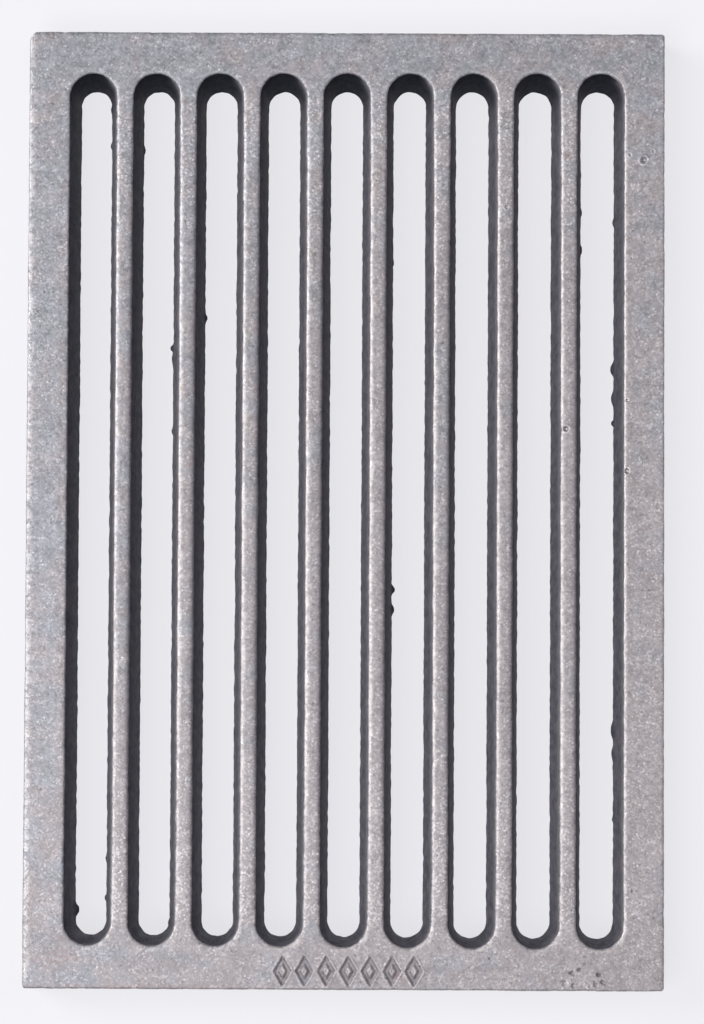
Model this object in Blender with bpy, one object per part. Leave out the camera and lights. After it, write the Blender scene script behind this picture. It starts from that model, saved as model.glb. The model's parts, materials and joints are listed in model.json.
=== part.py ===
"""Cast-iron fire grate: one flat sand casting, a rim around nine tapered, round-ended slots.

Metres, +Z up. The origin is the middle of the underside. X runs across the bars and Y along them.
The underside lies on the mould's parting plane, and every wall drafts away from that plane:
the slots open out upwards and the outer sides lean in upwards.
"""

import math

import bmesh
import bpy

# Rim: overall size at the parting plane, where the casting is largest
GRATE_WIDTH = 0.160
GRATE_LENGTH = 0.240
GRATE_THICKNESS = 0.016
SIDE_DRAFT = math.radians(0.5)
CORNER_RADIUS = 0.0008
RIM_EDGE_RADIUS = 0.0005

# Slots: sizes at the underside and, before their lips are rounded, at the upper face
SLOT_COUNT = 9
SLOT_PITCH = 0.01595
SLOT_UNDERSIDE_WIDTH = 0.0082
SLOT_UNDERSIDE_LENGTH = 0.2148
SLOT_FACE_WIDTH = 0.0116
SLOT_FACE_LENGTH = 0.2187
SLOT_LIP_RADIUS = 0.0006

# Size mark: a row of plain lozenge grooves sunk in the end rail at -Y
MARK_COUNT = 7
MARK_PITCH = 0.00545
MARK_WIDTH = 0.0044
MARK_HEIGHT = 0.0076
MARK_STROKE = 0.0011
MARK_DEPTH = 0.0005
MARK_CENTRE_X = 0.0013
MARK_CENTRE_Y = -0.1152

# How finely the round stretches are divided
CORNER_STEPS = 4
SLOT_END_STEPS = 14
EDGE_STEPS = 4

CUTTER_OVERRUN = 0.002

IRON_COLOUR = (0.36, 0.35, 0.35, 1.0)
IRON_ROUGHNESS = 0.55
IRON_METALLIC = 0.85


def clear_scene():
    for scene_object in list(bpy.data.objects):
        bpy.data.objects.remove(scene_object, do_unlink=True)


def arc_points(centre_x, centre_y, radius, start, sweep, steps):
    """Points along an arc in the XY plane, both ends included."""
    points = []
    for step in range(steps + 1):
        angle = start + sweep * step / steps
        points.append((centre_x + radius * math.cos(angle), centre_y + radius * math.sin(angle)))
    return points


def rectangle_outline(width, length, radius):
    """A rounded rectangle about the origin, anticlockwise."""
    points = []
    for quarter, (side_x, side_y) in enumerate(((1, 1), (-1, 1), (-1, -1), (1, -1))):
        centre_x = side_x * (width / 2 - radius)
        centre_y = side_y * (length / 2 - radius)
        points += arc_points(centre_x, centre_y, radius, quarter * math.pi / 2, math.pi / 2, CORNER_STEPS)
    return points


def slot_outline(centre_x, width, length):
    """A slot with half-round ends, anticlockwise, lying along Y."""
    reach = (length - width) / 2
    far_end = arc_points(centre_x, reach, width / 2, 0.0, math.pi, SLOT_END_STEPS)
    near_end = arc_points(centre_x, -reach, width / 2, math.pi, math.pi, SLOT_END_STEPS)
    return far_end + near_end


def lozenge_outline(centre_x, centre_y, width, height):
    return [
        (centre_x + width / 2, centre_y),
        (centre_x, centre_y + height / 2),
        (centre_x - width / 2, centre_y),
        (centre_x, centre_y - height / 2),
    ]


def add_ring(mesh, outline, height):
    return [mesh.verts.new((x, y, height)) for x, y in outline]


def bridge_rings(mesh, lower, upper):
    """Quads between two rings of equally many points. Anticlockwise rings give outward faces."""
    for index, corner in enumerate(lower):
        following = (index + 1) % len(lower)
        mesh.faces.new((corner, lower[following], upper[following], upper[index]))


def object_from_mesh(mesh, name):
    mesh_data = bpy.data.meshes.new(name)
    mesh.to_mesh(mesh_data)
    mesh.free()
    made = bpy.data.objects.new(name, mesh_data)
    bpy.context.scene.collection.objects.link(made)
    return made


def stacked_solid(name, levels):
    """A closed solid through a stack of (outline, height) levels, from the lowest to the highest."""
    mesh = bmesh.new()
    rings = [add_ring(mesh, outline, height) for outline, height in levels]
    for lower, upper in zip(rings, rings[1:]):
        bridge_rings(mesh, lower, upper)
    mesh.faces.new(list(reversed(rings[0])))
    mesh.faces.new(rings[-1])
    return object_from_mesh(mesh, name)


def edge_profile(radius):
    """(distance in from the wall, distance below the face) down a rounded edge, lowest first."""
    return [
        (radius * (1 - math.cos(angle)), radius * (1 - math.sin(angle)))
        for angle in (math.pi / 2 * step / EDGE_STEPS for step in range(EDGE_STEPS + 1))
    ]


def make_slab():
    """The casting before its slots: drafted sides, rounded corners, a softened upper edge."""
    levels = [(rectangle_outline(GRATE_WIDTH, GRATE_LENGTH, CORNER_RADIUS), 0.0)]
    for inset, drop in edge_profile(RIM_EDGE_RADIUS):
        height = GRATE_THICKNESS - drop
        shrink = 2 * (height * math.tan(SIDE_DRAFT) + inset)
        outline = rectangle_outline(GRATE_WIDTH - shrink, GRATE_LENGTH - shrink, CORNER_RADIUS)
        levels.append((outline, height))
    return stacked_solid("grate_casting", levels)


def slot_size(height):
    """A slot's width and length at a height, on the straight draft between the two faces."""
    share = height / GRATE_THICKNESS
    width = SLOT_UNDERSIDE_WIDTH + share * (SLOT_FACE_WIDTH - SLOT_UNDERSIDE_WIDTH)
    length = SLOT_UNDERSIDE_LENGTH + share * (SLOT_FACE_LENGTH - SLOT_UNDERSIDE_LENGTH)
    return width, length


def make_slot_cutter(index):
    """One slot's space: the drafted slot, its rounded lip, and an overrun past both faces."""
    centre_x = (index - (SLOT_COUNT - 1) / 2) * SLOT_PITCH
    levels = []
    lip = [(GRATE_THICKNESS - drop, inset) for inset, drop in edge_profile(SLOT_LIP_RADIUS)]
    for height, widening in [(-CUTTER_OVERRUN, 0.0)] + lip:
        width, length = slot_size(height)
        levels.append((slot_outline(centre_x, width + 2 * widening, length + 2 * widening), height))
    levels.append((levels[-1][0], GRATE_THICKNESS + CUTTER_OVERRUN))
    return stacked_solid(f"slot_cutter_{index + 1}", levels)


def make_mark_cutter(index):
    """One lozenge groove's space: an outer lozenge wall around an inner one, joined above and below."""
    centre_x = MARK_CENTRE_X + (index - (MARK_COUNT - 1) / 2) * MARK_PITCH
    inner_share = 1 - 2 * MARK_STROKE * math.hypot(MARK_WIDTH, MARK_HEIGHT) / (MARK_WIDTH * MARK_HEIGHT)
    outer = lozenge_outline(centre_x, MARK_CENTRE_Y, MARK_WIDTH, MARK_HEIGHT)
    inner = lozenge_outline(centre_x, MARK_CENTRE_Y, MARK_WIDTH * inner_share, MARK_HEIGHT * inner_share)
    floor_height = GRATE_THICKNESS - MARK_DEPTH
    roof_height = GRATE_THICKNESS + CUTTER_OVERRUN
    mesh = bmesh.new()
    outer_floor = add_ring(mesh, outer, floor_height)
    outer_roof = add_ring(mesh, outer, roof_height)
    inner_roof = add_ring(mesh, inner, roof_height)
    inner_floor = add_ring(mesh, inner, floor_height)
    section = [outer_floor, outer_roof, inner_roof, inner_floor]
    for lower, upper in zip(section, section[1:] + section[:1]):
        bridge_rings(mesh, lower, upper)
    return object_from_mesh(mesh, f"mark_cutter_{index + 1}")


def cut_with(target, cutters, name):
    """Takes the cutters' spaces out of the target with one Boolean, and leaves them as guides."""
    group = bpy.data.collections.new(name)
    bpy.context.scene.collection.children.link(group)
    for cutter in cutters:
        bpy.context.scene.collection.objects.unlink(cutter)
        group.objects.link(cutter)
        cutter.hide_render = True
        cutter.display_type = "WIRE"
    boolean = target.modifiers.new(name, "BOOLEAN")
    boolean.operation = "DIFFERENCE"
    boolean.solver = "EXACT"
    boolean.operand_type = "COLLECTION"
    boolean.collection = group


def cast_iron():
    material = bpy.data.materials.new("cast_iron")
    material.use_nodes = True
    shader = material.node_tree.nodes["Principled BSDF"]
    shader.inputs["Base Color"].default_value = IRON_COLOUR
    shader.inputs["Roughness"].default_value = IRON_ROUGHNESS
    shader.inputs["Metallic"].default_value = IRON_METALLIC
    return material


def make_grate():
    casting = make_slab()
    cut_with(casting, [make_slot_cutter(index) for index in range(SLOT_COUNT)], "slots")
    cut_with(casting, [make_mark_cutter(index) for index in range(MARK_COUNT)], "size_mark")
    casting.data.materials.append(cast_iron())
    casting.data.shade_smooth()
    casting.data.set_sharp_from_angle(angle=math.radians(40))
    return casting


clear_scene()
make_grate()
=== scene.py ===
"""Looks of the cast-iron fire grate: the finished casting, its material, the floor, lights and camera.

Metres, in the CAD model's frame: X across the bars, Y along them, Z up from the underside.
"""

import json
import math

import bmesh
import bpy
import numpy as np
from mathutils import Euler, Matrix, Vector, noise


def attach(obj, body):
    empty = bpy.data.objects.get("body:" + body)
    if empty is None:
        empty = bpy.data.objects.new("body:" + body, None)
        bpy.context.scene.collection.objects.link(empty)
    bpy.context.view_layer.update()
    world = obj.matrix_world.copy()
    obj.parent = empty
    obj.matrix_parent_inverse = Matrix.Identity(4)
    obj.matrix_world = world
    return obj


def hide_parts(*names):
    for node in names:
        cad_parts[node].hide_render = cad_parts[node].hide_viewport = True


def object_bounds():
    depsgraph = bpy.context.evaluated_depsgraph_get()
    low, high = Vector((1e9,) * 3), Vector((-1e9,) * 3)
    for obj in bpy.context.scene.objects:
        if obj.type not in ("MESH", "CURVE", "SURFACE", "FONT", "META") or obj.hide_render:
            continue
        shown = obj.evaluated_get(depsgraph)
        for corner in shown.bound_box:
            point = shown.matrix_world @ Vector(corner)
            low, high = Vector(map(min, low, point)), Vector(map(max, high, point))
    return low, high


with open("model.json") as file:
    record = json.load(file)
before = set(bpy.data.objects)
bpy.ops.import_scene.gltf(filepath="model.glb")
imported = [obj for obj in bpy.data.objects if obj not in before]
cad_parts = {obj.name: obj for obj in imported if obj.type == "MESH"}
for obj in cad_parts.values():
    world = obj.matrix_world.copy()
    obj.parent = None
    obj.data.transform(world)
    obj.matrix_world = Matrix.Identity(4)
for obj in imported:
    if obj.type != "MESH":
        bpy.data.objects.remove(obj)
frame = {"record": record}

MM = 0.001
CAD_LOW, CAD_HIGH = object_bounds()
WIDTH, LENGTH, THICKNESS = CAD_HIGH - CAD_LOW

# Slot sizes at the underside and at the upper face, before the lip is rounded
SLOT_UNDERSIDE = (8.2 * MM, 214.8 * MM)
SLOT_FACE = (11.6 * MM, 218.7 * MM)
SLOT_BOXES = [opening["box_m"] for opening in frame["record"]["physics"]["openings"]]
SLOT_CENTRES = sorted((low[0] + high[0]) / 2 for low, high in SLOT_BOXES)
SLOT_PITCH = SLOT_CENTRES[1] - SLOT_CENTRES[0]
# Half the width of the block of cells round the slots, and half the slots' straight length at the face
HALF_BLOCK = len(SLOT_CENTRES) * SLOT_PITCH / 2
FACE_REACH = (SLOT_FACE[1] - SLOT_FACE[0]) / 2
# How far along Y the cores stand off the middle, and how much further they do at the upper face
CORE_SHIFT = -0.15 * MM
CORE_LEAN = 0.3 * MM
# From -X to +X, each slot's lower mouth is this much wider than the last one's, and the slot longer
MOUTH_GROWTH = 0.09 * MM
LENGTH_GROWTH = 0.12 * MM

# Rounded edges and draft, the bars' crown, the worn corner at -X +Y and the height of the flash
LIP_RADIUS = 0.6 * MM
BAR_CROWN = 0.24 * MM
RIM_RADIUS = 0.5 * MM
UNDERSIDE_RADIUS = 0.25 * MM
SIDE_DRAFT = math.radians(0.5)
CORNER_RADIUS = 0.8 * MM
WORN_CORNER = 3.2 * MM
FLASH_HEIGHT = 0.35 * MM

# Noise layers: height (in millimetres, or as a share), size in millimetres and seed of each
FLASH_NOISE = ((0.07, 3.0, 1), (0.13, 1.3, 2))
LIP_NOISE = ((0.10, 9.0, 3), (0.08, 1.9, 4), (0.09, 1.0, 10))
FACE_NOISE = ((0.07, 11.0, 5), (0.03, 3.2, 6), (0.015, 1.5, 7))
EDGE_NOISE = ((0.12, 2.5, 8), (0.10, 1.2, 9))
GOUGE_NOISE = ((0.9, 0.9, 12), (0.5, 0.45, 13))
CORNER_NOISE = ((0.12, 1.5, 14),)
BAND_NOISE = ((0.35, 5.0, 15),)
MIDDLE_NOISE = ((12.0, 30.0, 11),)

# Flash at the lower mouths, in millimetres: how far it stands out by itself, and how far back it may fall
FLASH_REACH = 0.08
FLASH_FALL = -0.05
# The share of the flash at its root, and the height where the wandering wall meets the even draft
FLASH_ROOT = 0.35
WALL_FOOT = 2.2 * MM
# Nibs, rust blooms, pits and gouges fade out between these shares of their radii
NIB_FADE = (0.25, 1.0)
BLOOM_FADE = (0.2, 1.0)
PIT_FADE = (0.35, 1.05)
GOUGE_FADE = (0.3, 1.0)

# How finely the skin is divided, and how far to each side of the middle the cells reach along Y
SIDE_STEPS = 320
RISE_STEPS = 12
ACROSS_STEPS = 24
END_STEPS = 2 * RISE_STEPS + ACROSS_STEPS
FLAT_ROWS = 3
LIP_ROWS = 4
WALL_ROWS = 4
UNDERSIDE_ROWS = 2
SIDE_RAIL_STEPS = 12
END_RAIL_STEPS = 14
RIM_ROWS = 3
OUTER_ROWS = 5
CELL_END = 111.2 * MM
# Points in the same small cube are welded, and the offset keeps round sizes off the cubes' borders
WELD_DISTANCE = 0.001 * MM
WELD_OFFSET = 0.37
# Least lengths to divide by
LEAST_DISTANCE = 0.01 * MM
NEXT_TO_NOTHING = 1e-12
# Round the mark and the faults the skin is finer: the cuts in each edge, how deep and how far out.
# Round a fault that is so many times its radius, and so many millimetres more.
FINE_CUTS = 2
FINE_MARK_DEPTH = 0.1 * MM
FINE_MARK_MARGIN = (1.0 * MM, 0.3 * MM)
FINE_FAULT_DEPTH = 0.6 * MM
FINE_FAULT_RADII = 2.0
FINE_FAULT_MARGIN = 0.5

# Size mark: plain lozenge grooves in the end rail at -Y
MARK_COUNT = 7
MARK_PITCH = 5.45 * MM
MARK_HALF_WIDTH = 2.2 * MM
MARK_HALF_HEIGHT = 3.8 * MM
MARK_CENTRE = (1.3 * MM, -115.2 * MM)
MARK_STROKE = 1.1 * MM
MARK_DEPTH = 0.5 * MM
MARK_BURR = 0.08 * MM
# In strokes from a groove's middle: where its wall runs, and the place and spread of its burr
MARK_WALL = (0.15, 0.7)
MARK_BURR_PLACE = 0.78
MARK_BURR_SPREAD = 0.22

# Relief: where the bars' crown ends along Y and begins with height, the same for the ragged edges, and
# the heights over which pits, gouges and the mark take hold
CROWN_FADE = (90 * MM, 106 * MM)
CROWN_RISE = (0.6, 0.9)
CROWN_POWER = 4
EDGE_BORDER = 1.0 * MM
EDGE_FADE = (-0.6 * MM, 0.6 * MM)
EDGE_RISE = (0.3, 0.9)
FAULT_RISE = (THICKNESS - 0.6 * MM, THICKNESS - 0.3 * MM)
# The raised rings round the pits: the height round a pit 1 mm deep, and place and spread in radii
PIT_RING_HEIGHT = 0.25 * MM
PIT_RING_PLACE = 1.35
PIT_RING_SPREAD = 0.3
# A gouge's ragged outline reaches out to at most its radius over this
RAGGED_LEAST = 0.5

# Where wear, dirt, painted highlights and painted shade lie. Distances along the grate count from its
# middle, and depths from its face.
FACE_DEPTH = 1.0 * MM
BAR_REACH = SLOT_FACE[1] / 2 - 6 * MM
MIDDLE_FADE = (45 * MM, 100 * MM)
END_RAIL_FADE = (100 * MM, 110 * MM)
FAR_END_FADE = (96 * MM, 108 * MM)
LENGTH_FADE = (-100 * MM, 100 * MM)
UNDERSIDE_FADE = (THICKNESS - 0.5 * MM, THICKNESS)
SIDE_FADE = (1.0 * MM, 4.0 * MM)

# The slots' walls: the side of a slot whose walls face away from the key light, the depths where walls
# turn dark, and how that differs on the walls that face the key light: there the dark starts lower and is
# eased near the top, a painted light, while on the other walls it starts just under the edge, a painted
# shade
LEE_DIRECTION = (-0.6, 0.8)
LEE_FADE = (-0.3, 0.4)
KEY_SIDE_FADE = (0.3, 0.9)
WALL_START = 0.10 * MM
WALL_FADE = 0.35 * MM
KEY_WALL_START = 0.28 * MM
KEY_WALL_FADE = 0.1 * MM
KEY_WALL_GLEAM = 0.14
KEY_WALL_GLEAM_FADE = (1 * MM, 8 * MM)
WALL_END_FADE = (THICKNESS - 0.3 * MM, THICKNESS - 0.1 * MM)

# Dark scale: its strength on the underside, the sides and in sunk places; painted shade on each bar's +X
# side, where light falls least, most of all halfway along; and how much darker the end rails are
UNDERSIDE_OXIDE = 0.55
SIDE_OXIDE = 0.35
SUNK_OXIDE = 0.3
SUNK_DEPTH = 0.1 * MM
LEE_BAR_SHADE = 0.12
LEE_BAR_MIDDLE_SHADE = 0.4
LEE_BAR_FADE = (0.3, 1.05)
END_RAIL_DARKENING = 0.05

# Painted highlights, as bright rubbed metal: the slots' rounded lips on the side of the key light, a band
# along the -X side of each bar, the edge at -X, the strip beside each slot, the rings round the pits and
# the mark's burr
LIP_START = (-0.02 * MM, 0.08 * MM)
LIP_END = (0.3 * MM, 0.6 * MM)
BAND_FADE = (0.25, 0.7)
BAND_DEPTH = 0.3 * MM
BAND_MIDDLE = 0.5
LIP_MIDDLE = 0.4
EDGE_HIGHLIGHT = 2
EDGE_HIGHLIGHT_FADE = (0.7 * MM, 2.2 * MM)
EDGE_HIGHLIGHT_DEPTH = (0.6 * MM, 2 * MM)
STRIP_HIGHLIGHT = 1.5
STRIP_HIGHLIGHT_DIRECTION = (0.85, -0.5)
STRIP_HIGHLIGHT_FADE = (0.1, 0.8)
STRIP_HIGHLIGHT_REACH = (0.3 * MM, 1.3 * MM)
STRIP_HIGHLIGHT_DEPTH = 0.5 * MM
RING_HIGHLIGHT = 5
RING_HIGHLIGHT_MOST = 1.6
BURR_HIGHLIGHT = 0.7
SPOT_DEPTH = 0.2 * MM

# Rust along the edge at -Y, and painted shade on the lee walls: more of it deeper down and further to +Y
EDGE_RUST = 0.5
EDGE_RUST_REACH = (0.5 * MM, 2.2 * MM)
EDGE_RUST_END = (-40 * MM, -10 * MM)
EDGE_RUST_DEPTH = (1 * MM, 5 * MM)
LEE_PAINTED_SHADE = 0.22
DEEP_PAINTED_SHADE = 0.25
DEEP_PAINTED_SHADE_FADE = (0.5 * MM, 6 * MM)
FAR_PAINTED_SHADE = 0.22
FAR_END_PAINTED_SHADE = 0.9

# The stage, in metres
FLOOR_RADIUS = 6.0
FLOOR_MIDDLE_RADIUS = 1.5
COVE_RADIUS = 1.4
COVE_STEPS = 12
FLOOR_SIDES = 96
FLOOR_GAP = 0.0002
# Area lights: name, place, width, height, power and colour of each
LIGHTS = (
    ("overhead", (-0.45, -0.50, 1.6), 0.8, 0.8, 11.8, (1.0, 0.985, 0.985)),
    ("key", (-1.30, 0.50, 1.30), 0.8, 1.1, 17.5, (1.0, 0.98, 0.97)),
    ("fill", (0.70, 0.20, 1.50), 0.8, 0.8, 4.4, (1.0, 0.985, 0.98)),
)
SKY_COLOUR = (0.86, 0.90, 1.0, 1)
SKY_STRENGTH = 0.05
# The camera's place, its turn in degrees, and its lens and sensor in millimetres
CAMERA_PLACE = (0.0038, -0.0522, 1.0388)
CAMERA_TURN = (2.876, 0.103, 0.270)
CAMERA_LENS = 144.0
CAMERA_SENSOR = 36.0

# Colours
COOL_IRON = (0.393, 0.399, 0.445, 1)
WARM_IRON = (0.437, 0.405, 0.427, 1)
RUST_COLOUR = (0.34, 0.17, 0.13, 1)
# The colour of the painted glints
SPARKLE_COLOUR = (0.85, 0.84, 0.82, 1)
# The colour of the painted highlights
HIGHLIGHT_COLOUR = (0.82, 0.79, 0.79, 1)
DARK_SCALE = (0.050, 0.052, 0.082, 1)
PALE_SCALE = (0.150, 0.138, 0.172, 1)
# The colour of the painted shade on the slots' walls
PAINTED_SHADE_COLOUR = (0.005, 0.008, 0.017, 1)
FLOOR_COLOUR = (0.20, 0.20, 0.21, 1)
FLOOR_ROUGHNESS = 0.9
FLOOR_GLOW_COLOUR = (0.97, 0.965, 1.0, 1)
FLOOR_GLOW = 0.745

# The iron's patterns: size of each
GRAIN_SIZE = 1.4 * MM
SPECK_SIZE = 0.95 * MM
GLINT_SIZE = 0.8 * MM
CRYSTAL_SIZE = 0.47 * MM
CLUSTER_SIZE = 4 * MM
PATCH_SIZE = 5 * MM
TINT_SIZE, FINE_TINT_SIZE = 17 * MM, 5.5 * MM
RUST_PATCH_SIZE, RUST_SPOT_SIZE = 6 * MM, 1.0 * MM
# The noise that breaks up the painted highlights
HIGHLIGHT_BREAK_SIZE = 1.1 * MM
MOTTLE_SIZE = 2.5 * MM
# The walls' mottling is drawn out along Z
MOTTLE_SCALE = (1.0, 1.0, 0.45)
# The middle of a dot at full strength, as a share of its cell
DOT_CORE = 0.05

# How the patterns and zones change the iron's colour, roughness, metal, gloss and bump. A range of two
# numbers is mapped to 0..1, and a range of four maps the first two to the last two.
SLANT_TINT_Y = 0.7
SLANT_REACH = 150 * MM
SLANT_TINT = (-0.18, 0.22)
ZONE_TINT = 0.15
TINT_RANGE = (0.75, 1.25)
CLUSTER_RANGE = (0.35, 0.65, 0.55, 1.1)
LIVELY_GLINT = 0.7
CRYSTAL_POWER = 3.0
CRYSTAL_GLINT = 0.55
PATCH_SHADE = (0.3, 0.7, 0.93, 1.07)
GRAIN_SHADE = (0.28, 0.72, 0.72, 1.12)
GLINT_SHADE = 0.7
SPECK_SHADE = 0.3
BURNISH_SHADE = 0.1
FAINT_RUST_RANGE, FAINT_RUST = (0.68, 0.80), 0.5
BLOOM_RANGE, BLOOM_RUST = (0.42, 0.6), 0.7
MOTTLE_RANGE = (0.32, 0.68)
# Painted highlights: how they are broken up, how the burnish adds to them, and how strongly they are
# blended in
HIGHLIGHT_BREAK_RANGE = (0.40, 0.62)
BURNISH_HIGHLIGHT = 0.3
# The share of the painted glints blended in
SPARKLE_BLEND = 0.3
HIGHLIGHT_BLEND = 0.48
GRAIN_ROUGHNESS = (0.25, 0.75, 0.42, 0.60)
BURNISH_SMOOTHNESS = 0.04
OXIDE_ROUGHNESS = 0.25
BARE_METAL = 0.6
OXIDE_DULLING = 0.8
# How much metal the painted highlights add
HIGHLIGHT_METAL = 0.3
BARE_GLOSS = 0.5
# How much the painted shade on the walls dulls their gloss
PAINTED_SHADE_DULLING = 0.45
SPARKLE_HEIGHT = 0.25
SPECK_HEIGHT = 0.35
BUMP_STRENGTH = 0.8
BURNISH_FLATNESS = 0.2
BUMP_DISTANCE = 0.12 * MM

# Casting faults, in millimetres: x, y, radius and depth of each pit, and of each gouge, in the upper face
PITS = (
    (74.6, 88.0, 0.85, 0.5), (55.2, 20.3, 0.7, 0.4), (40.2, 76.0, 0.45, 0.4),
    (70.5, 27.5, 0.4, 0.3), (70.4, 9.8, 0.7, 0.35), (71.1, 89.3, 0.4, 0.35),
    (77.0, 90.2, 0.35, 0.3), (71.6, 63.3, 0.3, 0.25),
)
GOUGES = (
    (56.8, -115.4, 0.6, 0.8), (57.4, -115.8, 0.4, 0.4), (58.8, -114.5, 0.5, 0.6), (63.6, -115.7, 0.5, 0.8),
    (57.3, -118.6, 0.7, 0.35), (64.6, -117.6, 0.7, 0.5), (55.0, -117.7, 0.6, 0.35),
    (62.8, -118.4, 0.7, 0.35), (72.0, -95.0, 0.4, 0.4), (36.5, -111.9, 0.4, 0.3),
)
# Rust blooms: x, y, radius and strength of each
RUST = (
    (-38.8, 11.0, 1.1, 1.0), (-41.3, 30.0, 1.4, 1.0), (55.6, 88.5, 1.2, 1.0), (-41.2, -9.0, 1.0, 1.0),
    (-56.6, -30.0, 1.0, 1.0), (-70.5, -110.5, 8.0, 0.35),
)
# Flash at the slots' lower mouths: x, y, radius and reach of each nib
NIBS = (
    (-67.9, -100.9, 1.9, 0.9), (-60.3, -97.9, 1.2, 0.5), (-60.6, 102.4, 1.5, 0.35),
    (-66.3, -105.8, 1.6, 0.2), (-60.4, 93.0, 1.1, 0.45), (-60.4, -88.0, 1.2, 0.4),
    (-44.6, -103.8, 1.2, 0.55), (-44.3, 41.5, 1.3, 0.8), (-44.3, 38.5, 2.6, 0.35),
    (-44.3, 20.3, 1.2, 0.4), (-36.4, 49.1, 1.3, 0.6), (-52.2, 92.0, 1.4, 0.4),
    (11.0, 63.3, 1.2, 0.6), (11.4, -19.7, 1.5, 0.8), (11.4, -24.8, 1.7, 0.6),
    (67.4, 36.5, 2.4, 0.8), (67.4, 29.0, 2.6, 0.6), (67.4, 22.8, 1.3, 1.1),
    (67.4, 74.0, 1.6, 0.45), (67.5, -55.0, 3.0, 0.55), (67.5, -61.0, 2.4, 0.4),
    (67.5, -77.7, 1.1, 0.4), (59.6, 76.5, 1.4, 0.35), (59.6, 67.0, 1.6, 0.4),
)


# ---------------------------------------------------------------- outlines

def slot_outline(width, length):
    """Points round a slot about the origin, anticlockwise from the near end of its right side."""
    half = width / 2
    reach = (length - width) / 2
    along = np.linspace(-reach, reach, SIDE_STEPS, endpoint=False)
    turn = np.linspace(0, math.pi, END_STEPS, endpoint=False)
    right = np.stack([np.full_like(along, half), along], 1)
    far = np.stack([half * np.cos(turn), reach + half * np.sin(turn)], 1)
    return np.concatenate([right, far, -right, -far])


def slot_outward():
    """For each outline point, the flat direction from the slot into the iron."""
    turn = np.linspace(0, math.pi, END_STEPS, endpoint=False)
    right = np.tile([[1.0, 0.0]], (SIDE_STEPS, 1))
    far = np.stack([np.cos(turn), np.sin(turn)], 1)
    return np.concatenate([right, far, -right, -far])


def cell_outline():
    """The oblong cell round a slot, with one point for each point of the slot's outline."""
    half = SLOT_PITCH / 2
    along = np.linspace(-FACE_REACH, FACE_REACH, SIDE_STEPS, endpoint=False)
    rise = np.linspace(FACE_REACH, CELL_END, RISE_STEPS, endpoint=False)
    across = np.linspace(half, -half, ACROSS_STEPS, endpoint=False)
    fall = np.linspace(CELL_END, FACE_REACH, RISE_STEPS, endpoint=False)
    right = np.stack([np.full_like(along, half), along], 1)
    far = np.concatenate([
        np.stack([np.full_like(rise, half), rise], 1),
        np.stack([across, np.full_like(across, CELL_END)], 1),
        np.stack([np.full_like(fall, -half), fall], 1),
    ])
    return np.concatenate([right, far, -right, -far])


def slot_size(height, place):
    """The drafted width and length at a height, of the slot that stands place slots from the middle."""
    share = height / THICKNESS
    mouth = SLOT_UNDERSIDE[0] + MOUTH_GROWTH * place
    width = mouth + share * (SLOT_FACE[0] - mouth)
    length = SLOT_UNDERSIDE[1] + share * (SLOT_FACE[1] - SLOT_UNDERSIDE[1]) + LENGTH_GROWTH * place
    return width, length


# ---------------------------------------------------------------- noise and faults

def ripple(points, size, seed):
    """Smooth noise from -1 to 1, with features about size across."""
    shift = Vector((17.31 * seed, -5.17 * seed, 9.73 * seed))
    return np.array([noise.noise(Vector(point) / size + shift) for point in points])


def smooth(low, high, values):
    """0 below low and 1 above high, with an even rise between them."""
    share = np.clip((values - low) / (high - low), 0, 1)
    return share * share * (3 - 2 * share)


def layered(points, layers):
    """The sum of noise layers, in the unit of their heights."""
    return sum(height * ripple(points, size * MM, seed) for height, size, seed in layers)


def off_spot(points, x, y, radius):
    """Distance from a spot given in millimetres, as a share of its radius."""
    return np.hypot(points[:, 0] - x * MM, points[:, 1] - y * MM) / (radius * MM)


def flash_reach(points):
    """How far the ragged flash reaches into the slot at each point of its lower mouth."""
    reach = np.maximum(FLASH_REACH + layered(points, FLASH_NOISE), FLASH_FALL) * MM
    for x, y, radius, height in NIBS:
        reach += height * MM * (1 - smooth(*NIB_FADE, off_spot(points, x, y, radius)))
    return reach


def lip_wander(points):
    """How far the slot's upper lip strays from its outline."""
    return layered(points, LIP_NOISE) * MM


# ---------------------------------------------------------------- skin patches

class Skin:
    """Collects patches of points and quads, then welds them into one closed mesh."""

    def __init__(self):
        self.points = []
        self.quads = []
        self.count = 0

    def add(self, points, quads):
        self.points.append(points)
        self.quads.append(quads + self.count)
        self.count += len(points)

    def add_rings(self, rings):
        """Rings of equally many points, each joined to the next."""
        rows, around = rings.shape[:2]
        index = np.arange(rows * around).reshape(rows, around)
        after = np.roll(index, -1, axis=1)
        quads = np.stack([index[:-1], after[:-1], after[1:], index[1:]], 2)
        self.add(rings.reshape(-1, 3), quads.reshape(-1, 4))

    def welded(self):
        """The points in use, each of them once, and the quads between them."""
        points = np.concatenate(self.points)
        quads = np.concatenate(self.quads)
        keys = np.floor(points / WELD_DISTANCE + WELD_OFFSET).astype(np.int64)
        first, place = np.unique(keys, axis=0, return_index=True, return_inverse=True)[1:]
        quads = place.reshape(-1)[quads]
        used, quads = np.unique(quads, return_inverse=True)
        return points[first][used], quads.reshape(-1, 4)


def at_height(outline, height):
    return np.column_stack([outline, np.full(len(outline), height)])


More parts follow.
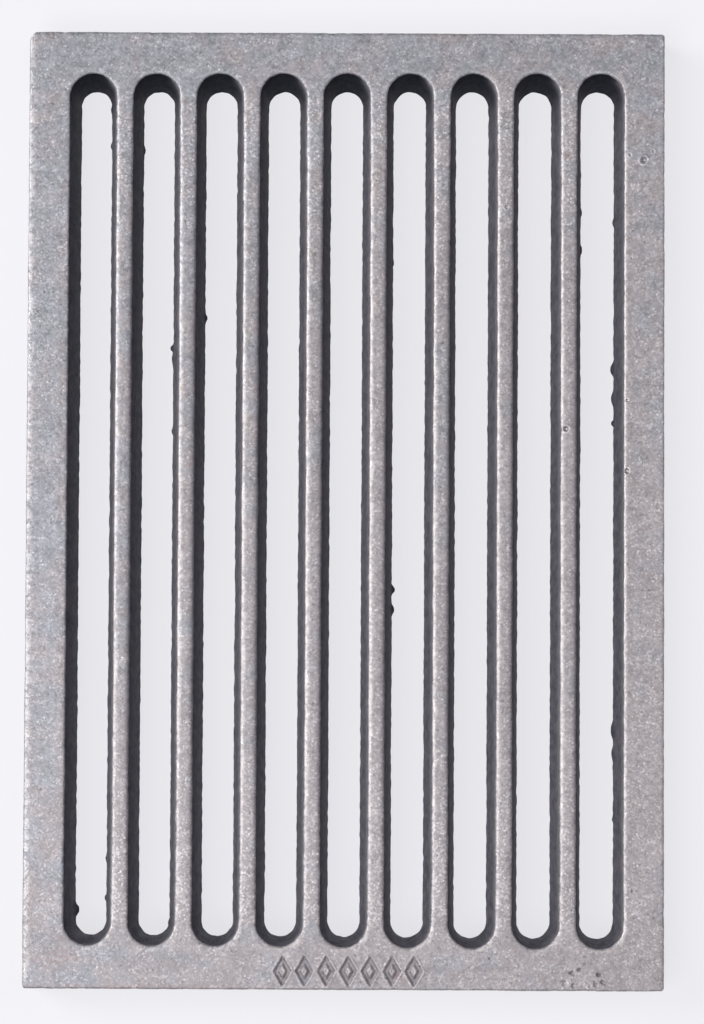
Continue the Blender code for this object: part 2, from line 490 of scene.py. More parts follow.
def slot_rings(centre_x):
    """The skin of one cell, in rings: upper face, rounded lip, drafted wall, flash and underside."""
    centre = np.array([centre_x, CORE_SHIFT])
    outward = np.column_stack([slot_outward(), np.zeros(len(slot_outward()))])
    cell = cell_outline() + centre

    def ring(height, spread):
        width, length = slot_size(height, centre_x / SLOT_PITCH)
        lean = (0.0, CORE_LEAN * height / THICKNESS)
        return at_height(slot_outline(width + 2 * spread, length + 2 * spread) + centre + lean, height)

    lip = []
    for step in range(LIP_ROWS + 1):
        angle = math.pi / 2 * step / LIP_ROWS
        spread = LIP_RADIUS * (1 - math.sin(angle))
        lip.append(ring(THICKNESS - LIP_RADIUS * (1 - math.cos(angle)), spread))
    wander = lip_wander(lip[0])[:, None] * outward
    flash = flash_reach(ring(0.0, 0.0))[:, None] * outward

    rings = []
    face_edge = lip[0] + wander
    for row in range(FLAT_ROWS):
        share = row / FLAT_ROWS
        rings.append(at_height(cell, THICKNESS) * (1 - share) + face_edge * share)
    rings += [points + wander for points in lip]
    for height in np.linspace(THICKNESS - LIP_RADIUS, WALL_FOOT, WALL_ROWS + 1)[1:]:
        fade = (height - WALL_FOOT) / (THICKNESS - WALL_FOOT)
        rings.append(ring(height, 0.0) + wander * fade)
    rings.append(ring(2 * FLASH_HEIGHT, 0.0) - FLASH_ROOT * flash)
    rings.append(ring(FLASH_HEIGHT, 0.0) - flash)
    sharp = ring(0.0, 0.0) - flash
    rings.append(sharp)
    for row in range(1, UNDERSIDE_ROWS + 1):
        share = row / UNDERSIDE_ROWS
        rings.append(sharp * (1 - share) + at_height(cell, 0.0) * share)
    return np.array(rings)


def frame_lines(half_width, half_length):
    """The X and Y grid lines of the rim, which share the cells' own points where they meet."""
    near, far = CORE_SHIFT - CELL_END, CORE_SHIFT + CELL_END
    lines_x = np.concatenate([
        np.linspace(-half_width, -HALF_BLOCK, SIDE_RAIL_STEPS, endpoint=False),
        np.linspace(-HALF_BLOCK, HALF_BLOCK, len(SLOT_CENTRES) * ACROSS_STEPS, endpoint=False),
        np.linspace(HALF_BLOCK, half_width, SIDE_RAIL_STEPS + 1),
    ])
    lines_y = np.concatenate([
        np.linspace(-half_length, near, END_RAIL_STEPS, endpoint=False),
        np.linspace(near, CORE_SHIFT - FACE_REACH, RISE_STEPS, endpoint=False),
        np.linspace(CORE_SHIFT - FACE_REACH, CORE_SHIFT + FACE_REACH, SIDE_STEPS, endpoint=False),
        np.linspace(CORE_SHIFT + FACE_REACH, far, RISE_STEPS, endpoint=False),
        np.linspace(far, half_length, END_RAIL_STEPS + 1),
    ])
    return lines_x, lines_y


def round_corners(points, half_width, half_length):
    """Pulls the grid's square corners in to quarter circles."""
    corner = np.array([half_width - CORNER_RADIUS, half_length - CORNER_RADIUS])
    past = np.abs(points[:, :2]) - corner
    in_corner = (past > 0).all(axis=1)
    reach = np.maximum(past.max(axis=1), 0)
    length = np.maximum(np.hypot(past[:, 0], past[:, 1]), NEXT_TO_NOTHING)
    pulled = corner + past * (reach / length)[:, None]
    rounded = points.copy()
    rounded[in_corner, :2] = np.sign(points[in_corner, :2]) * pulled[in_corner]
    return rounded


def rim_grid(inset, height, faces_up):
    """The flat rim on one face: its points, its quads, and its border anticlockwise."""
    half_width, half_length = WIDTH / 2 - inset, LENGTH / 2 - inset
    lines_x, lines_y = frame_lines(half_width, half_length)
    count_x, count_y = len(lines_x), len(lines_y)
    grid_x, grid_y = np.meshgrid(lines_x, lines_y, indexing="ij")
    points = np.column_stack([grid_x.ravel(), grid_y.ravel(), np.full(grid_x.size, height)])
    points = round_corners(points, half_width, half_length)
    index = np.arange(count_x * count_y).reshape(count_x, count_y)
    quads = np.stack([index[:-1, :-1], index[1:, :-1], index[1:, 1:], index[:-1, 1:]], 2)
    kept = np.ones(quads.shape[:2], bool)
    kept[SIDE_RAIL_STEPS:-SIDE_RAIL_STEPS, END_RAIL_STEPS:-END_RAIL_STEPS] = False
    quads = quads[kept]
    if not faces_up:
        quads = quads[:, ::-1]
    border = np.concatenate([index[:-1, 0], index[-1, :-1], index[:0:-1, -1], index[0, :0:-1]])
    return points, quads, points[border]


def rim_profile():
    """(outward reach, height) down the outer side, from the upper face to the underside."""
    profile = []
    for step in range(RIM_ROWS + 1):
        angle = math.pi / 2 * step / RIM_ROWS
        profile.append((RIM_RADIUS * math.sin(angle), THICKNESS - RIM_RADIUS * (1 - math.cos(angle))))
    top = THICKNESS - RIM_RADIUS
    for height in np.linspace(top, UNDERSIDE_RADIUS, OUTER_ROWS + 1)[1:]:
        profile.append((RIM_RADIUS + (top - height) * math.tan(SIDE_DRAFT), height))
    profile.append((profile[-1][0] - UNDERSIDE_RADIUS, 0.0))
    return profile


def casting_skin():
    """The whole casting as one closed skin of quads."""
    skin = Skin()
    for centre_x in SLOT_CENTRES:
        skin.add_rings(slot_rings(centre_x))
    profile = rim_profile()
    full = max(reach for reach, height in profile)
    upper_inset, lower_inset = full, full - profile[-1][0]
    points, quads, upper_border = rim_grid(upper_inset, THICKNESS, True)
    skin.add(points, quads)
    points, quads, lower_border = rim_grid(lower_inset, 0.0, False)
    skin.add(points, quads)
    side = []
    for reach, height in reversed(profile):
        share = reach / profile[-1][0]
        ring = upper_border * (1 - share) + lower_border * share
        ring[:, 2] = height
        side.append(ring)
    skin.add_rings(np.array(side))
    return skin.welded()


def mesh_object(name, points, faces):
    mesh = bpy.data.meshes.new(name)
    mesh.from_pydata(points.tolist(), [], faces)
    mesh.validate()
    made = bpy.data.objects.new(name, mesh)
    bpy.context.scene.collection.objects.link(made)
    return made


# ---------------------------------------------------------------- surface relief

def refine(piece, near):
    """Divides the edges whose middles near() accepts."""
    mesh = bmesh.new()
    mesh.from_mesh(piece.data)
    chosen = [edge for edge in mesh.edges if near((edge.verts[0].co + edge.verts[1].co) / 2)]
    bmesh.ops.subdivide_edges(mesh, edges=chosen, cuts=FINE_CUTS, use_grid_fill=True)
    mesh.to_mesh(piece.data)
    mesh.free()


def near_mark(point):
    across = abs(point.x - MARK_CENTRE[0])
    along = abs(point.y - MARK_CENTRE[1])
    half_row = (MARK_COUNT - 1) / 2 * MARK_PITCH + MARK_HALF_WIDTH
    in_row = across < half_row + FINE_MARK_MARGIN[0] and along < MARK_HALF_HEIGHT + FINE_MARK_MARGIN[1]
    return in_row and point.z > THICKNESS - FINE_MARK_DEPTH


def near_fault(point):
    if point.z < THICKNESS - FINE_FAULT_DEPTH:
        return False
    for x, y, radius, _ in PITS + GOUGES:
        reach = (FINE_FAULT_RADII * radius + FINE_FAULT_MARGIN) * MM
        if math.hypot(point.x - x * MM, point.y - y * MM) < reach:
            return True
    return False


def off_mark(x, y):
    """Distance from the middle of the nearest lozenge groove, in strokes."""
    nearest = np.full_like(x, MARK_PITCH)
    scale = MARK_HALF_WIDTH * MARK_HALF_HEIGHT / math.hypot(MARK_HALF_WIDTH, MARK_HALF_HEIGHT)
    for index in range(MARK_COUNT):
        centre_x = MARK_CENTRE[0] + (index - (MARK_COUNT - 1) / 2) * MARK_PITCH
        share = np.abs(x - centre_x) / MARK_HALF_WIDTH + np.abs(y - MARK_CENTRE[1]) / MARK_HALF_HEIGHT
        nearest = np.minimum(nearest, np.abs((share - 1) * scale + MARK_STROKE / 2))
    return nearest / MARK_STROKE


def mark_depth(x, y):
    """Depth of the lozenge grooves."""
    return MARK_DEPTH * (1 - smooth(*MARK_WALL, off_mark(x, y)))


def mark_burr(x, y):
    """The low burr along the grooves, as a share of its height."""
    return np.exp(-((off_mark(x, y) - MARK_BURR_PLACE) / MARK_BURR_SPREAD) ** 2)


def pit_rings(points):
    """The low raised rings round the pits, as a share of the height of a ring round a 1 mm deep pit."""
    rings = np.zeros(len(points))
    for x, y, radius, depth in PITS:
        off_ring = off_spot(points, x, y, radius) - PIT_RING_PLACE
        rings += depth * np.exp(-(off_ring / PIT_RING_SPREAD) ** 2)
    return rings


def pit_depth(points):
    """Depth of the pits, each with a low raised ring round it."""
    sunk = np.zeros(len(points))
    for x, y, radius, depth in PITS:
        sunk += depth * MM * (1 - smooth(*PIT_FADE, off_spot(points, x, y, radius)))
    return sunk - PIT_RING_HEIGHT * pit_rings(points)


def gouge_depth(points):
    """Depth of the ragged gouges, where sand broke away from the mould."""
    sunk = np.zeros(len(points))
    ragged = np.maximum(1 + layered(points, GOUGE_NOISE), RAGGED_LEAST)
    for x, y, radius, depth in GOUGES:
        sunk += depth * MM * (1 - smooth(*GOUGE_FADE, off_spot(points, x, y, radius) * ragged))
    return sunk


def across_bar(x):
    """How far across its bar a point lies: -1 at the bar's -X lip, 1 at its +X lip."""
    return (np.mod(x / SLOT_PITCH, 1.0) - 0.5) * 2 * SLOT_PITCH / (SLOT_PITCH - SLOT_FACE[0])


def off_slot(x, y):
    """Distance from the nearest slot's face outline, and the flat direction away from that slot."""
    last = len(SLOT_CENTRES) // 2
    from_middle = x - np.clip(np.round(x / SLOT_PITCH), -last, last) * SLOT_PITCH
    past_end = np.sign(y) * np.maximum(np.abs(y - CORE_SHIFT) - FACE_REACH, 0)
    distance = np.maximum(np.hypot(from_middle, past_end), LEAST_DISTANCE)
    return distance - SLOT_FACE[0] / 2, from_middle / distance, past_end / distance


def read_vectors(items, field):
    """A mesh's points or normals as rows of three numbers."""
    values = np.empty(len(items) * 3, np.float32)
    items.foreach_get(field, values)
    return values.reshape(-1, 3).astype(float)


def crown_drop(points):
    """How far a bar's face lies below its middle line."""
    crowned = (np.abs(points[:, 0]) < SLOT_CENTRES[-1]) * (1 - smooth(*CROWN_FADE, np.abs(points[:, 1])))
    crowned *= smooth(*CROWN_RISE, points[:, 2] / THICKNESS)
    return BAR_CROWN * crowned * np.minimum(np.abs(across_bar(points[:, 0])), 1.0) ** CROWN_POWER


def wear_corner(points, moved):
    """Pulls the corner at -X +Y in to a ragged round."""
    toward_corner = (-1, 1)
    centre = np.array([WORN_CORNER - WIDTH / 2, LENGTH / 2 - WORN_CORNER])
    past = (moved[:, :2] - centre) * toward_corner
    reach = np.maximum(np.hypot(past[:, 0], past[:, 1]), MM)
    limit = WORN_CORNER * (1 + layered(points, CORNER_NOISE))
    worn_off = (past > 0).all(axis=1) & (reach > limit)
    shrink = np.where(worn_off, limit / reach, 1.0)
    moved[:, :2] = centre + past * shrink[:, None] * toward_corner


def ragged_edges(points):
    """How the outer edges are moved in, most of all at the upper face."""
    x, y = points[:, 0], points[:, 1]
    past_x = np.abs(x) - (WIDTH / 2 - EDGE_BORDER)
    past_y = np.abs(y) - (LENGTH / 2 - EDGE_BORDER)
    at_edge = smooth(*EDGE_FADE, np.maximum(past_x, past_y))
    at_edge *= smooth(*EDGE_RISE, points[:, 2] / THICKNESS)
    inward = -np.column_stack([np.sign(x) * (past_x > 0), np.sign(y) * (past_y > 0), np.zeros_like(x)])
    return inward * (at_edge * np.abs(layered(points, EDGE_NOISE) * MM))[:, None]


def relief(piece):
    """Moves the skin as sand, wear and faults left it."""
    mesh = piece.data
    points = read_vectors(mesh.vertices, "co")
    normals = read_vectors(mesh.vertex_normals, "vector")
    moved = points + normals * layered(points, FACE_NOISE)[:, None] * MM
    moved[:, 2] -= crown_drop(points)
    x, y = points[:, 0], points[:, 1]
    on_face = smooth(*FAULT_RISE, points[:, 2])
    moved[:, 2] -= on_face * (mark_depth(x, y) + pit_depth(points) + gouge_depth(points))
    moved[:, 2] += on_face * MARK_BURR * mark_burr(x, y)
    wear_corner(points, moved)
    moved += ragged_edges(points)
    mesh.vertices.foreach_set("co", moved.astype(np.float32).ravel())
    mesh.update()


# ---------------------------------------------------------------- wear, dirt and painted light and shade

class Zones:
    """Where each point of the skin lies, in the terms that wear, dirt, painted highlights and painted shade
    follow.
    """

    def __init__(self, points):
        self.points = points
        self.x, self.y, height = points.T
        self.depth = THICKNESS - height
        self.on_face = self.depth < FACE_DEPTH
        self.in_block = (np.abs(self.x) < HALF_BLOCK) & (np.abs(self.y) < CELL_END)
        self.on_bar = (np.abs(self.x) < SLOT_CENTRES[-1]) & (np.abs(self.y) < BAR_REACH)
        self.over_bar = across_bar(self.x) * self.on_bar
        self.middle = 1 - smooth(*MIDDLE_FADE, np.abs(self.y) + layered(points, MIDDLE_NOISE) * MM)
        self.to_lip, self.away_x, self.away_y = off_slot(self.x, self.y)
        self.lee = smooth(*LEE_FADE, LEE_DIRECTION[0] * self.away_x + LEE_DIRECTION[1] * self.away_y)
        self.slot_wall = self.wall_share()

    def wall_share(self):
        """1 on the slots' walls, 0 on the faces: the walls that face the key light start a little lower and
        are a little lighter near the top, painted light; on the other walls the dark starts just under the
        edge, painted shade.
        """
        key_side = smooth(*KEY_SIDE_FADE, self.away_x)
        start = WALL_START + KEY_WALL_START * key_side
        share = smooth(start, start + WALL_FADE + KEY_WALL_FADE * key_side, self.depth) * self.in_block
        share *= 1 - KEY_WALL_GLEAM * key_side * (1 - smooth(*KEY_WALL_GLEAM_FADE, self.depth))
        return share * (1 - smooth(*WALL_END_FADE, self.depth))

    def oxide_and_painted_shade(self):
        """Dark scale, full in the slots and less on the underside and sides; painted shade on each bar's +X
        side, away from the key light; the end rails a little darker.
        """
        underside = UNDERSIDE_OXIDE * smooth(*UNDERSIDE_FADE, self.depth)
        side = SIDE_OXIDE * smooth(*SIDE_FADE, self.depth)
        sunk = mark_depth(self.x, self.y) + gouge_depth(self.points)
        sunk = SUNK_OXIDE * sunk * (self.depth < SUNK_DEPTH) / MARK_DEPTH
        # Painted shade on each bar's +X side, away from the key light, most of all halfway along
        lee_bar_shade = LEE_BAR_SHADE + LEE_BAR_MIDDLE_SHADE * self.middle
        lee_bar_shade = lee_bar_shade * smooth(*LEE_BAR_FADE, self.over_bar) * self.on_face
        # The end rails a little darker
        end_rails = END_RAIL_DARKENING * smooth(*END_RAIL_FADE, np.abs(self.y))
        return np.maximum.reduce([self.slot_wall, underside, side, sunk, lee_bar_shade, end_rails])

    def burnish(self):
        """The rubbed faces of the bars, most of all halfway along."""
        return self.middle * self.in_block * (1 - self.slot_wall) * self.on_face

    def lively(self):
        """The bars' ends, where the painted glints of the grain are strongest."""
        return (1 - self.middle) * (np.abs(self.over_bar) < 1) * self.on_bar * self.on_face

    def lip_and_band_highlight(self):
        """Painted highlight on the slots' lips on the side of the key light, and on a band along the -X
        side of each bar.
        """
        rounding = smooth(*LIP_START, self.depth) * (1 - smooth(*LIP_END, self.depth))
        rounding *= (1 - self.lee) * self.in_block
        band = smooth(*BAND_FADE, layered(self.points, BAND_NOISE) * self.on_bar - self.over_bar)
        band *= (self.depth < BAND_DEPTH) * (BAND_MIDDLE + (1 - BAND_MIDDLE) * self.middle)
        share = (1 - LIP_MIDDLE) + LIP_MIDDLE * self.middle * self.in_block
        return np.maximum(rounding, band) * share

    def edge_highlight(self):
        """Painted highlight along the edge at -X, which faces the key light."""
        share = 1 - smooth(*EDGE_HIGHLIGHT_FADE, self.x + WIDTH / 2)
        return EDGE_HIGHLIGHT * share * (1 - smooth(*EDGE_HIGHLIGHT_DEPTH, self.depth))

    def strip_highlight(self):
        """Painted highlight on the face just outside the lips, at +X and -Y of each slot, where the lips
        face the key light.
        """
        share = smooth(*STRIP_HIGHLIGHT_FADE, STRIP_HIGHLIGHT_DIRECTION[0] * self.away_x + STRIP_HIGHLIGHT_DIRECTION[1] * self.away_y)
        share *= (1 - smooth(*STRIP_HIGHLIGHT_REACH, self.to_lip)) * self.in_block * (self.depth < STRIP_HIGHLIGHT_DEPTH)
        return STRIP_HIGHLIGHT * share

    def painted_highlight(self):
        """Painted highlight, as bright metal, on lips, bars, the edge at -X, the rings round the pits and
        the mark's burr.
        """
        # Painted highlights on the rings round the pits and on the mark's burr
        rings = np.minimum(RING_HIGHLIGHT * pit_rings(self.points), RING_HIGHLIGHT_MOST)
        burr = BURR_HIGHLIGHT * mark_burr(self.x, self.y)
        spots = np.maximum(rings, burr) * (self.depth < SPOT_DEPTH)
        return np.maximum.reduce([self.lip_and_band_highlight(), self.strip_highlight(), self.edge_highlight(), spots])

    def rust(self):
        """Rust blooms on the face, and a faint line of rust along the left of the edge at -Y."""
        blooms = np.zeros(len(self.points))
        for x, y, radius, strength in RUST:
            bloom = strength * (1 - smooth(*BLOOM_FADE, off_spot(self.points, x, y, radius)))
            blooms = np.maximum(blooms, bloom * self.on_face)
        line = 1 - smooth(*EDGE_RUST_REACH, self.y + LENGTH / 2)
        line *= (1 - smooth(*EDGE_RUST_END, self.x)) * (1 - smooth(*EDGE_RUST_DEPTH, self.depth))
        return np.maximum(blooms, EDGE_RUST * line)

    def painted_wall_shade(self):
        """Painted shade on the walls that face away from the key light, and all round the slots' far ends.
        """
        deeper = DEEP_PAINTED_SHADE * smooth(*DEEP_PAINTED_SHADE_FADE, self.depth)
        farther = FAR_PAINTED_SHADE * smooth(*LENGTH_FADE, self.y)
        shaded = self.lee * (LEE_PAINTED_SHADE + deeper + farther)
        return np.maximum(shaded, FAR_END_PAINTED_SHADE * smooth(*FAR_END_FADE, self.y)) * self.slot_wall


def paint_zones(piece):
    """Stores each point's wear, dirt, painted highlight and painted shade on the mesh, for the material."""
    mesh = piece.data
    zones = Zones(read_vectors(mesh.vertices, "co"))
    shares = {
        "oxide_and_painted_shade": zones.oxide_and_painted_shade(),
        "burnish": zones.burnish(),
        "lively": zones.lively(),
        "painted_highlight": zones.painted_highlight(),
        "rust": zones.rust(),
        "painted_wall_shade": zones.painted_wall_shade(),
    }
    for name, share in shares.items():
        attribute = mesh.attributes.new(name, "FLOAT", "POINT")
        attribute.data.foreach_set("value", share.astype(np.float32))


# ---------------------------------------------------------------- material

# The Mix node's share and its colour sockets, which share their names with its other sockets
MIX_SHARE, MIX_FIRST, MIX_SECOND, MIX_RESULT = 0, 6, 7, 2


class Graph:
    """Adds and links a material's nodes."""

    def __init__(self, name):
        self.material = bpy.data.materials.new(name)
        self.material.use_nodes = True
        self.tree = self.material.node_tree
        self.tree.nodes.clear()

    def node(self, kind, settings=None, **inputs):
        made = self.tree.nodes.new("ShaderNode" + kind)
        for key, value in (settings or {}).items():
            setattr(made, key, value)
        for key, value in inputs.items():
            self.feed(made.inputs[key.replace("_", " ")], value)
        return made

    def feed(self, socket, value):
        if isinstance(value, bpy.types.NodeSocket):
            self.tree.links.new(value, socket)
        else:
            socket.default_value = value

    def noise(self, place, size, detail=2.0, roughness=0.5):
        made = self.node("TexNoise", Vector=place, Scale=1 / size, Detail=detail, Roughness=roughness)
        return made.outputs["Fac"]

    def cells(self, place, size):
        return self.node("TexVoronoi", Vector=place, Scale=1 / size)

    def spread(self, value, low, high, to_low=0.0, to_high=1.0):
        """Maps low..high to to_low..to_high, held at both ends."""
        made = self.node("MapRange", {"interpolation_type": "SMOOTHSTEP"}, Value=value)
        for key, number in (("From Min", low), ("From Max", high), ("To Min", to_low), ("To Max", to_high)):
            made.inputs[key].default_value = number
        return made.outputs["Result"]

    def math(self, operation, first, second):
        made = self.node("Math", {"operation": operation})
        self.feed(made.inputs[0], first)
        self.feed(made.inputs[1], second)
        return made.outputs[0]

    def less(self, share, strength):
        """1 less a share of a given strength."""
        return self.math("SUBTRACT", 1.0, self.math("MULTIPLY", share, strength))

    def blend(self, share, first, second, mode="MIX"):
        made = self.node("Mix", {"data_type": "RGBA", "blend_type": mode})
        self.feed(made.inputs[MIX_SHARE], share)
        self.feed(made.inputs[MIX_FIRST], first)
        self.feed(made.inputs[MIX_SECOND], second)
        return made.outputs[MIX_RESULT]

    def dots(self, place, size, channel, power, radius):
        """Soft round dots, one to a cell, of random strength: a higher power leaves fewer strong ones."""
        cells = self.cells(place, size)
        strength = self.math("POWER", self.part(cells, channel), power)
        roundness = self.spread(cells.outputs["Distance"], DOT_CORE, radius, 1.0, 0.0)
        return self.math("MULTIPLY", strength, roundness)

    def part(self, cells, channel):
        """One channel of a cell's random colour."""
        return self.node("SeparateColor", Color=cells.outputs["Color"]).outputs[channel]

    def attribute(self, name):
        return self.node("Attribute", {"attribute_name": name}).outputs["Fac"]


def iron_tint(g, place, burnish):
    """The iron's grey, which drifts from cool to warm in patches and towards +X -Y."""
    drift = g.math("ADD", g.noise(place, TINT_SIZE), g.noise(place, FINE_TINT_SIZE))
    across = g.node("SeparateXYZ", Vector=place)
    slant = g.math("SUBTRACT", across.outputs["X"], g.math("MULTIPLY", across.outputs["Y"], SLANT_TINT_Y))
    drift = g.math("ADD", drift, g.spread(slant, -SLANT_REACH, SLANT_REACH, *SLANT_TINT))
    drift = g.math("ADD", drift, g.math("MULTIPLY", burnish, ZONE_TINT))
    drift = g.math("ADD", drift, g.math("MULTIPLY", g.attribute("lively"), ZONE_TINT))
    return g.blend(g.spread(drift, *TINT_RANGE), COOL_IRON, WARM_IRON)


def iron_glint(g, place):
    """Painted glints: bright facets of the blasted grain, in loose clusters."""
    cluster = g.spread(g.noise(place, CLUSTER_SIZE), *CLUSTER_RANGE)
    cluster = g.math("ADD", cluster, g.math("MULTIPLY", g.attribute("lively"), LIVELY_GLINT))
    crystals = g.math("POWER", g.part(g.cells(place, CRYSTAL_SIZE), "Red"), CRYSTAL_POWER)
    crystals = g.math("MULTIPLY", crystals, CRYSTAL_GLINT)
    glint = g.math("ADD", crystals, g.dots(place, GLINT_SIZE, "Blue", power=6.0, radius=0.5))
    return g.math("MULTIPLY", cluster, glint)


def iron_shade(g, place, grain, glint, speck, burnish):
    """The iron's light and dark: patches, grain, glints and specks."""
    patch = g.spread(g.noise(place, PATCH_SIZE, detail=3.0, roughness=0.6), *PATCH_SHADE)
    share = g.math("ADD", g.spread(grain, *GRAIN_SHADE), g.math("MULTIPLY", glint, GLINT_SHADE))
    share = g.math("SUBTRACT", share, g.math("MULTIPLY", speck, SPECK_SHADE))
    shade = g.math("MULTIPLY", patch, share)
    shade = g.math("MULTIPLY", shade, g.less(burnish, BURNISH_SHADE))
    return g.node("CombineColor", Red=shade, Green=shade, Blue=shade).outputs[0]


def rust_share(g, place):
    """Faint rust in patches everywhere, and stronger in the blooms."""
    faint = g.spread(g.noise(place, RUST_PATCH_SIZE, detail=4.0, roughness=0.7), *FAINT_RUST_RANGE)
    bloom = g.spread(g.noise(place, RUST_SPOT_SIZE), *BLOOM_RANGE)
    bloom = g.math("MULTIPLY", g.attribute("rust"), bloom)
    return g.math("MAXIMUM", g.math("MULTIPLY", faint, FAINT_RUST), g.math("MULTIPLY", bloom, BLOOM_RUST))


def scale_colour(g, place, painted_wall_shade):
    """The dark scale on the walls, mottled, under painted shade."""
    drawn_out = g.node("VectorMath", {"operation": "MULTIPLY"})
    g.feed(drawn_out.inputs[0], place)
    g.feed(drawn_out.inputs[1], MOTTLE_SCALE)
    mottle = g.noise(drawn_out.outputs[0], MOTTLE_SIZE, detail=4.0, roughness=0.7)
    mottle = g.spread(mottle, *MOTTLE_RANGE)
    return g.blend(painted_wall_shade, g.blend(mottle, DARK_SCALE, PALE_SCALE), PAINTED_SHADE_COLOUR)


def highlight_share(g, place, burnish):
    """The painted highlight, as bright rubbed metal, broken up by noise."""
    broken = g.spread(g.noise(place, HIGHLIGHT_BREAK_SIZE, detail=3.0, roughness=0.6), *HIGHLIGHT_BREAK_RANGE)
    broken = g.math("ADD", broken, g.math("MULTIPLY", burnish, BURNISH_HIGHLIGHT))
    return g.math("MINIMUM", g.math("MULTIPLY", g.attribute("painted_highlight"), broken), 1.0)


def iron_bump(g, grain, sparkle, speck, burnish):
    """The grain's relief, flatter where the iron is burnished."""
    height = g.math("ADD", grain, g.math("MULTIPLY", sparkle, SPARKLE_HEIGHT))
    height = g.math("SUBTRACT", height, g.math("MULTIPLY", speck, SPECK_HEIGHT))
    strength = g.math("SUBTRACT", BUMP_STRENGTH, g.math("MULTIPLY", burnish, BURNISH_FLATNESS))
    bump = g.node("Bump", Height=height, Strength=strength, Distance=BUMP_DISTANCE)
    return bump.outputs["Normal"]


def cast_iron():
    """Shot-blasted grey iron: sparkling grain on the faces, dark oxide on the slot walls."""
    g = Graph("cast_iron_finish")
    place = g.node("TexCoord").outputs["Object"]
    # Dark scale, with painted shade on each bar's +X side and at the slots' lips
    oxide_and_painted_shade = g.attribute("oxide_and_painted_shade")
    burnish = g.attribute("burnish")
    # Painted shade on the slots' walls that face away from the key light, and at their far ends
    painted_wall_shade = g.attribute("painted_wall_shade")
    grain = g.noise(place, GRAIN_SIZE, detail=4.0, roughness=0.68)
    glint = iron_glint(g, place)
    speck = g.dots(place, SPECK_SIZE, "Green", power=4.0, radius=0.55)
    sparkle = g.math("MULTIPLY", glint, g.math("SUBTRACT", 1.0, oxide_and_painted_shade))
    highlight = highlight_share(g, place, burnish)

    shade = iron_shade(g, place, grain, glint, speck, burnish)
    bare = g.blend(1.0, iron_tint(g, place, burnish), shade, "MULTIPLY")
    bare = g.blend(rust_share(g, place), bare, RUST_COLOUR)
    # Painted glints, blended in as a pale colour
    bare = g.blend(g.math("MULTIPLY", sparkle, SPARKLE_BLEND), bare, SPARKLE_COLOUR)
    # Painted highlights, blended in as bright rubbed metal
    bare = g.blend(g.math("MULTIPLY", highlight, HIGHLIGHT_BLEND), bare, HIGHLIGHT_COLOUR)
    colour = g.blend(oxide_and_painted_shade, bare, scale_colour(g, place, painted_wall_shade))

    rough = g.spread(grain, *GRAIN_ROUGHNESS)
    rough = g.math("SUBTRACT", rough, g.math("MULTIPLY", burnish, BURNISH_SMOOTHNESS))
    rough = g.math("ADD", rough, g.math("MULTIPLY", oxide_and_painted_shade, OXIDE_ROUGHNESS))
    metal = g.math("MULTIPLY", g.less(oxide_and_painted_shade, OXIDE_DULLING), BARE_METAL)
    metal = g.math("ADD", metal, g.math("MULTIPLY", highlight, HIGHLIGHT_METAL))
    metal = g.math("MULTIPLY", metal, g.math("SUBTRACT", 1.0, painted_wall_shade))
    gloss = g.math("SUBTRACT", BARE_GLOSS, g.math("MULTIPLY", painted_wall_shade, PAINTED_SHADE_DULLING))

    shader = g.node("BsdfPrincipled", Base_Color=colour, Roughness=rough, Metallic=metal)
    g.feed(shader.inputs["Specular IOR Level"], gloss)
    g.feed(shader.inputs["Normal"], iron_bump(g, grain, sparkle, speck, burnish))
    g.feed(g.node("OutputMaterial").inputs["Surface"], shader.outputs[0])
    return g.material


# ---------------------------------------------------------------- stage

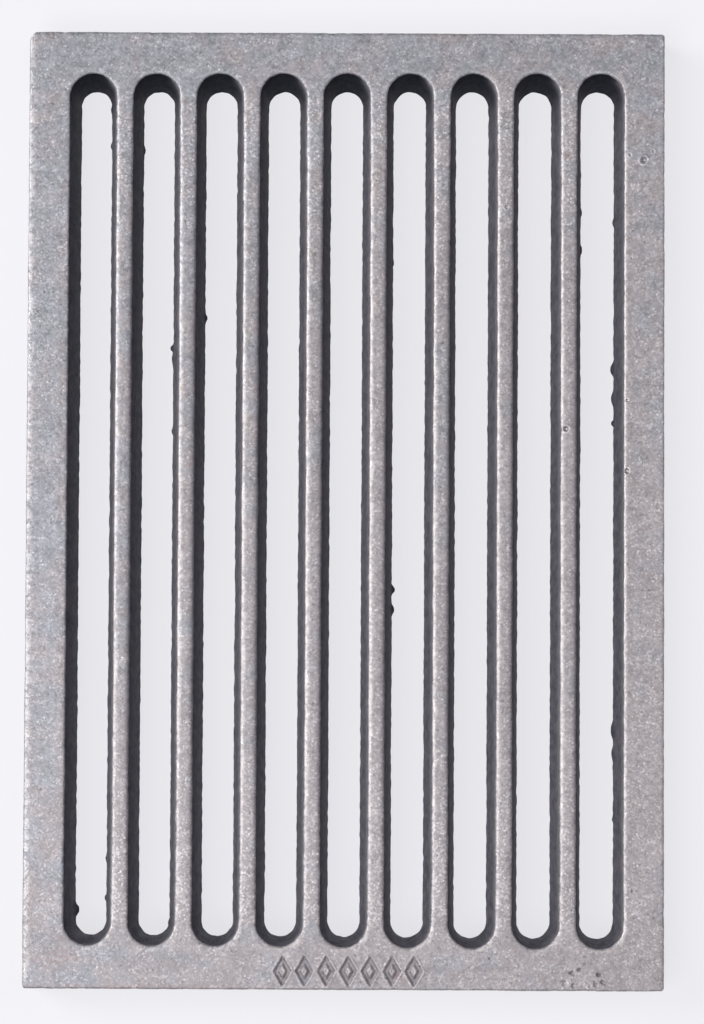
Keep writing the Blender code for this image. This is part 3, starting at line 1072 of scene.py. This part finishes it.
def make_floor():
    """A plain pale floor that glows a little, as a light table does, and sweeps up far out."""
    around = np.linspace(0, 2 * math.pi, FLOOR_SIDES, endpoint=False)
    circle = np.column_stack([np.cos(around), np.sin(around)])
    rings = []
    for step in range(COVE_STEPS, -1, -1):
        angle = math.pi / 2 * step / COVE_STEPS
        radius = FLOOR_RADIUS + COVE_RADIUS * math.sin(angle)
        rings.append(at_height(radius * circle, COVE_RADIUS * (1 - math.cos(angle)) - FLOOR_GAP))
    rings.append(at_height(FLOOR_MIDDLE_RADIUS * circle, -FLOOR_GAP))
    skin = Skin()
    skin.add_rings(np.array(rings))
    middle = list(range(skin.count - FLOOR_SIDES, skin.count))
    floor = mesh_object("floor", skin.points[0], skin.quads[0].tolist() + [middle])
    floor.data.shade_smooth()
    g = Graph("pale_floor")
    shader = g.node("BsdfPrincipled", Base_Color=FLOOR_COLOUR, Roughness=FLOOR_ROUGHNESS)
    shader.inputs["Emission Color"].default_value = FLOOR_GLOW_COLOUR
    shader.inputs["Emission Strength"].default_value = FLOOR_GLOW
    g.feed(g.node("OutputMaterial").inputs["Surface"], shader.outputs[0])
    floor.data.materials.append(g.material)


def add_area_light(name, place, target, width, height, power, colour):
    data = bpy.data.lights.new(name, "AREA")
    data.shape = "RECTANGLE"
    data.size, data.size_y = width, height
    data.energy = power
    data.color = colour
    light = bpy.data.objects.new(name, data)
    light.location = place
    light.rotation_euler = (Vector(target) - Vector(place)).to_track_quat("-Z", "Y").to_euler()
    bpy.context.scene.collection.objects.link(light)


def light_scene():
    """Three soft lights aimed at the middle of the upper face, under a faint sky."""
    for name, place, width, height, power, colour in LIGHTS:
        add_area_light(name, place, (0.0, 0.0, THICKNESS), width, height, power, colour)
    world = bpy.data.worlds.new("studio")
    world.use_nodes = True
    background = world.node_tree.nodes["Background"]
    background.inputs["Color"].default_value = SKY_COLOUR
    background.inputs["Strength"].default_value = SKY_STRENGTH
    bpy.context.scene.world = world
    bpy.context.scene.view_settings.view_transform = "Standard"


def add_camera():
    data = bpy.data.cameras.new("camera")
    data.lens = CAMERA_LENS
    data.sensor_width = CAMERA_SENSOR
    camera = bpy.data.objects.new("camera", data)
    camera.location = CAMERA_PLACE
    camera.rotation_euler = Euler([math.radians(angle) for angle in CAMERA_TURN])
    bpy.context.scene.collection.objects.link(camera)
    bpy.context.scene.camera = camera


def make_casting():
    points, quads = casting_skin()
    casting = mesh_object("grate_surface", points, quads.tolist())
    refine(casting, near_mark)
    refine(casting, near_fault)
    paint_zones(casting)
    relief(casting)
    casting.data.shade_smooth()
    casting.data.materials.append(cast_iron())
    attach(casting, "root")
    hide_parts("grate_casting")


make_casting()
make_floor()
light_scene()
add_camera()
